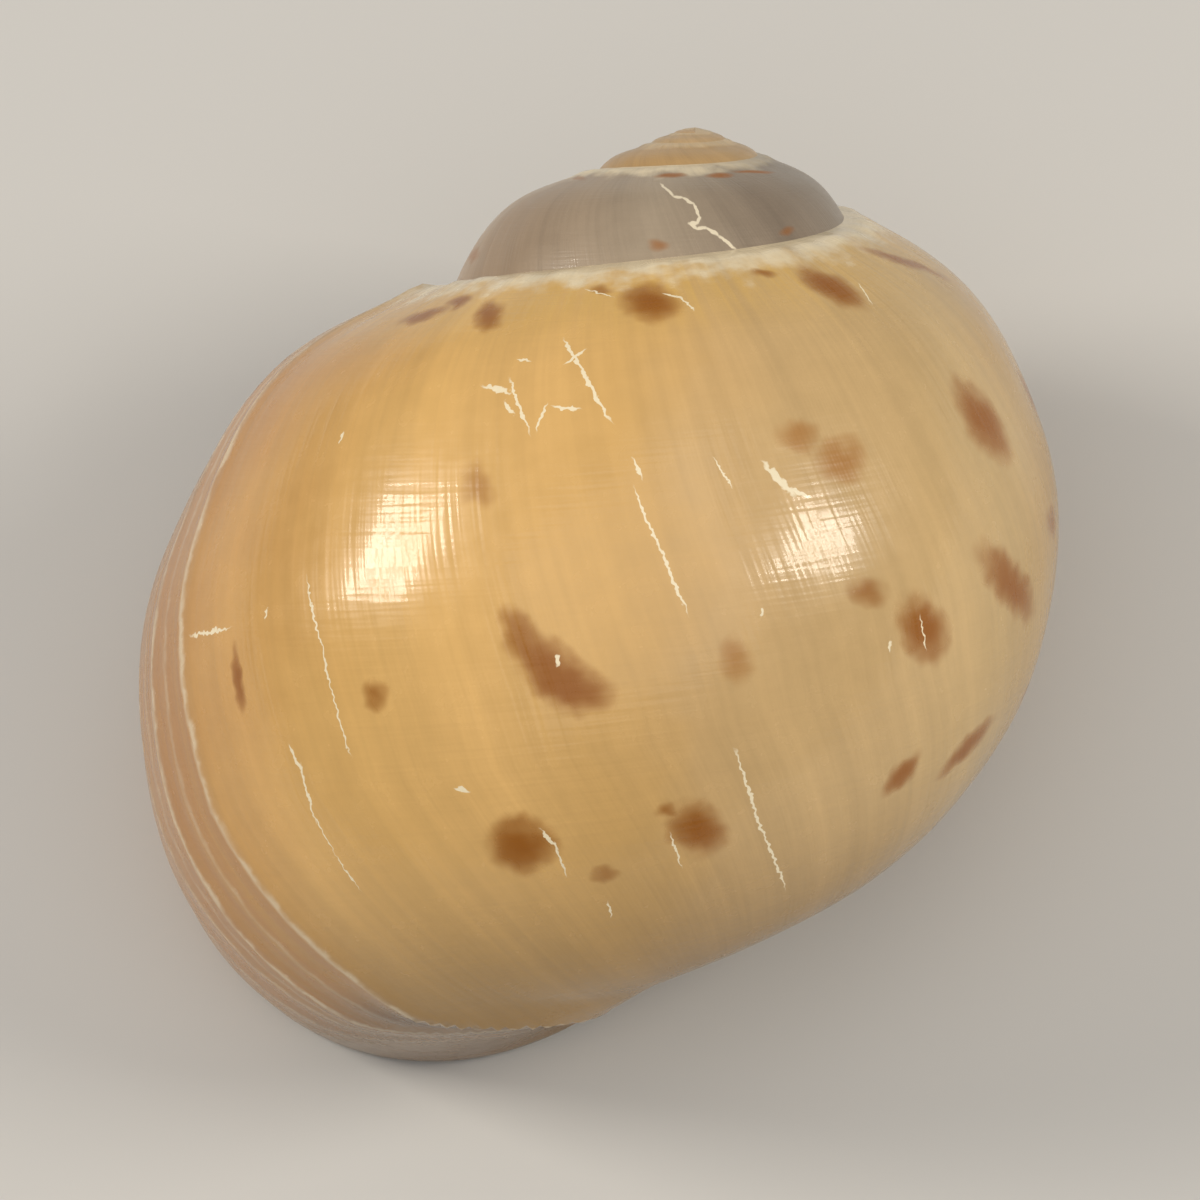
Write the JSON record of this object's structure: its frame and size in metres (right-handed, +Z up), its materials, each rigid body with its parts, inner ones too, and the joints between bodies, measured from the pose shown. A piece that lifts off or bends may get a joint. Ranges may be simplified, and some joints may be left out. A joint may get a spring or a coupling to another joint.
{
  "type": "moon snail shell",
  "caption": "Glossy, globose, right-handed moon snail shell with a low spire, tan with brown spots, hollow, lying on its aperture.",
  "frame": {"origin": "middle of the shell's extent in X and Y, on the surface it lies on", "axes": "+Z up from the surface, +Y towards the spire, +X to the right with the spire pointing away"},
  "size_m": [0.039, 0.0334, 0.0275],
  "materials": {
    "shell_glaze": "natural glossy calcium carbonate, warm tan with scattered brown spots"
  },
  "bodies": {
    "root": {"shell": "shell_glaze"}
  },
  "joints": []
}
